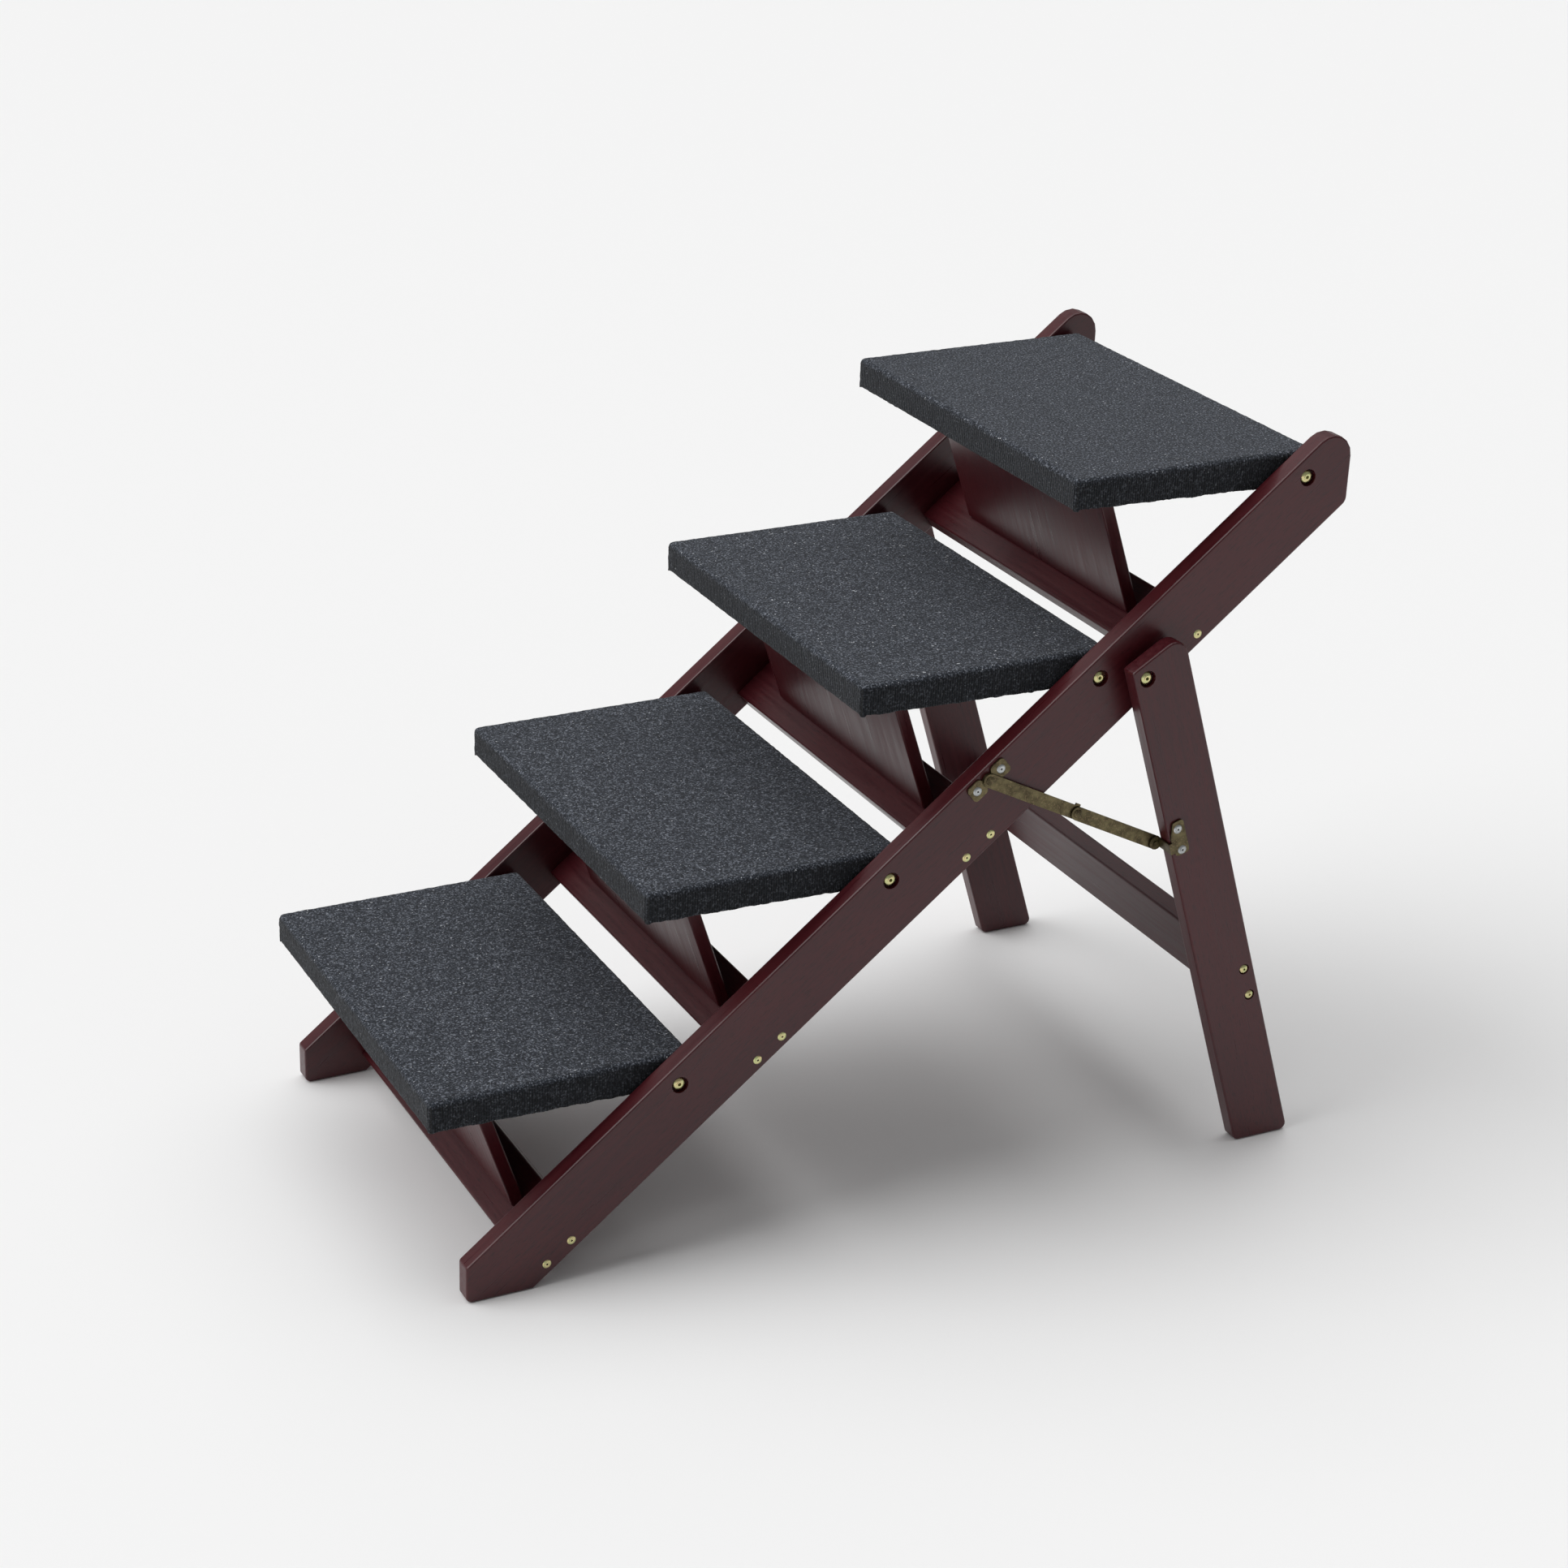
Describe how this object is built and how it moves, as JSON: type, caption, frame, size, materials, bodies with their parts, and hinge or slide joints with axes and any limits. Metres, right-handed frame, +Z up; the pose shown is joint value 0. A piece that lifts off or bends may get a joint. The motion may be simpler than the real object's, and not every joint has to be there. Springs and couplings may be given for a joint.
{
  "type": "folding pet stairs",
  "caption": "Wooden folding pet stairs with carpeted treads on hinged support panels, two sloping side rails and a fold-in rear leg frame held by stays.",
  "frame": {"origin": "on the floor, under the middle of the outline", "axes": "+X runs up the stairs towards the rear legs, +Y is left when climbing, +Z is up"},
  "size_m": [0.8486, 0.4868, 0.6719],
  "materials": {
    "stained_wood": "dark cherry stain under satin lacquer",
    "stained_panel": "dark cherry stain under satin lacquer, veneered board",
    "bare_board": "unpolished plywood, stained brown underneath",
    "rib_carpet": "heathered charcoal ribbed needle felt",
    "yellow_zinc_steel": "yellow zinc plated",
    "plain_zinc_steel": "zinc plated",
    "black_nylon": "moulded, matt",
    "antiqued_steel": "antique bronze plated, brushed through at edges"
  },
  "bodies": {
    "root": {"rail_left": "stained_wood", "rail_right": "stained_wood", "batten_1": "stained_wood", "batten_2": "stained_wood", "batten_3": "stained_wood", "batten_4": "stained_wood", "step_bolt_1_left": "yellow_zinc_steel", "step_bolt_1_right": "yellow_zinc_steel", "step_bolt_2_left": "yellow_zinc_steel", "step_bolt_2_right": "yellow_zinc_steel", "step_bolt_3_left": "yellow_zinc_steel", "step_bolt_3_right": "yellow_zinc_steel", "step_bolt_4_left": "yellow_zinc_steel", "step_bolt_4_right": "yellow_zinc_steel", "leg_bolt_left": "yellow_zinc_steel", "leg_bolt_right": "yellow_zinc_steel", "leg_spacer_left": "black_nylon", "leg_spacer_right": "black_nylon", "rail_bracket_left": "antiqued_steel", "rail_bracket_right": "antiqued_steel", "rail_rivet_left": "antiqued_steel", "rail_rivet_right": "antiqued_steel"},
    "step_1": {"step_board_1": "bare_board", "step_carpet_1": "rib_carpet", "hinge_leaf_board_1": "plain_zinc_steel"},
    "panel_1": {"support_panel_1": "stained_panel", "hinge_leaf_panel_1": "plain_zinc_steel"},
    "step_2": {"step_board_2": "bare_board", "step_carpet_2": "rib_carpet", "hinge_leaf_board_2": "plain_zinc_steel"},
    "panel_2": {"support_panel_2": "stained_panel", "hinge_leaf_panel_2": "plain_zinc_steel"},
    "step_3": {"step_board_3": "bare_board", "step_carpet_3": "rib_carpet", "hinge_leaf_board_3": "plain_zinc_steel"},
    "panel_3": {"support_panel_3": "stained_panel", "hinge_leaf_panel_3": "plain_zinc_steel"},
    "step_4": {"step_board_4": "bare_board", "step_carpet_4": "rib_carpet", "hinge_leaf_board_4": "plain_zinc_steel"},
    "panel_4": {"support_panel_4": "stained_panel", "hinge_leaf_panel_4": "plain_zinc_steel"},
    "leg_frame": {"leg_left": "stained_wood", "leg_right": "stained_wood", "cross_board": "stained_wood", "cross_screw_upper_left": "yellow_zinc_steel", "cross_screw_upper_right": "yellow_zinc_steel", "cross_screw_lower_left": "yellow_zinc_steel", "cross_screw_lower_right": "yellow_zinc_steel", "leg_bracket_left": "antiqued_steel", "leg_bracket_right": "antiqued_steel"},
    "stay_inner_left": {"stay_inner_link_left": "antiqued_steel", "elbow_rivet_left": "antiqued_steel"},
    "stay_outer_left": {"stay_outer_link_left": "antiqued_steel", "leg_rivet_left": "antiqued_steel"},
    "stay_inner_right": {"stay_inner_link_right": "antiqued_steel", "elbow_rivet_right": "antiqued_steel"},
    "stay_outer_right": {"stay_outer_link_right": "antiqued_steel", "leg_rivet_right": "antiqued_steel"}
  },
  "joints": [
    {"name": "step_1_lift", "type": "hinge", "parent": "root", "child": "step_1", "pos_m": [-0.20476, 0, 0.1688], "axis": [0, 1, 0], "range_deg": [0, 70]},
    {"name": "panel_1_fold", "type": "hinge", "parent": "step_1", "child": "panel_1", "pos_m": [-0.3545, 0, 0.16], "axis": [0, -1, 0], "range_deg": [0, 71.05]},
    {"name": "step_2_lift", "type": "hinge", "parent": "root", "child": "step_2", "pos_m": [-0.00949, 0, 0.32491], "axis": [0, 1, 0], "range_deg": [0, 70]},
    {"name": "panel_2_fold", "type": "hinge", "parent": "step_2", "child": "panel_2", "pos_m": [-0.15923, 0, 0.31611], "axis": [0, -1, 0], "range_deg": [0, 71.05]},
    {"name": "step_3_lift", "type": "hinge", "parent": "root", "child": "step_3", "pos_m": [0.18579, 0, 0.48101], "axis": [0, 1, 0], "range_deg": [0, 70]},
    {"name": "panel_3_fold", "type": "hinge", "parent": "step_3", "child": "panel_3", "pos_m": [0.03604, 0, 0.47221], "axis": [0, -1, 0], "range_deg": [0, 71.05]},
    {"name": "step_4_lift", "type": "hinge", "parent": "root", "child": "step_4", "pos_m": [0.38106, 0, 0.63712], "axis": [0, 1, 0], "range_deg": [0, 70]},
    {"name": "panel_4_fold", "type": "hinge", "parent": "step_4", "child": "panel_4", "pos_m": [0.23131, 0, 0.62832], "axis": [0, -1, 0], "range_deg": [0, 71.05]},
    {"name": "legs_fold", "type": "hinge", "parent": "root", "child": "leg_frame", "pos_m": [0.21723, 0, 0.48477], "axis": [0, 1, 0], "range_deg": [0, 67.5]},
    {"name": "stay_inner_left_turn", "type": "hinge", "parent": "root", "child": "stay_inner_left", "pos_m": [0.08026, 0, 0.40434], "axis": [0, 1, 0], "range_deg": [-1, 23]},
    {"name": "stay_outer_left_turn", "type": "hinge", "parent": "stay_inner_left", "child": "stay_outer_left", "pos_m": [0.1697, 0, 0.35881], "axis": [0, 1, 0], "range_deg": [-1, 173]},
    {"name": "stay_inner_right_turn", "type": "hinge", "parent": "root", "child": "stay_inner_right", "pos_m": [0.08026, 0, 0.40434], "axis": [0, 1, 0], "range_deg": [-1, 23]},
    {"name": "stay_outer_right_turn", "type": "hinge", "parent": "stay_inner_right", "child": "stay_outer_right", "pos_m": [0.1697, 0, 0.35881], "axis": [0, 1, 0], "range_deg": [-1, 173]}
  ],
  "couplings": [
    {"joint": "panel_1_fold", "follows": "step_1_lift", "ratio": 1.0145},
    {"joint": "panel_2_fold", "follows": "step_2_lift", "ratio": 1.0145},
    {"joint": "panel_3_fold", "follows": "step_3_lift", "ratio": 1.0145},
    {"joint": "panel_4_fold", "follows": "step_4_lift", "ratio": 1.0145},
    {"joint": "stay_inner_left_turn", "follows": "legs_fold", "ratio": 0.31286},
    {"joint": "stay_outer_left_turn", "follows": "legs_fold", "ratio": 2.534},
    {"joint": "stay_inner_right_turn", "follows": "legs_fold", "ratio": 0.31286},
    {"joint": "stay_outer_right_turn", "follows": "legs_fold", "ratio": 2.534}
  ]
}
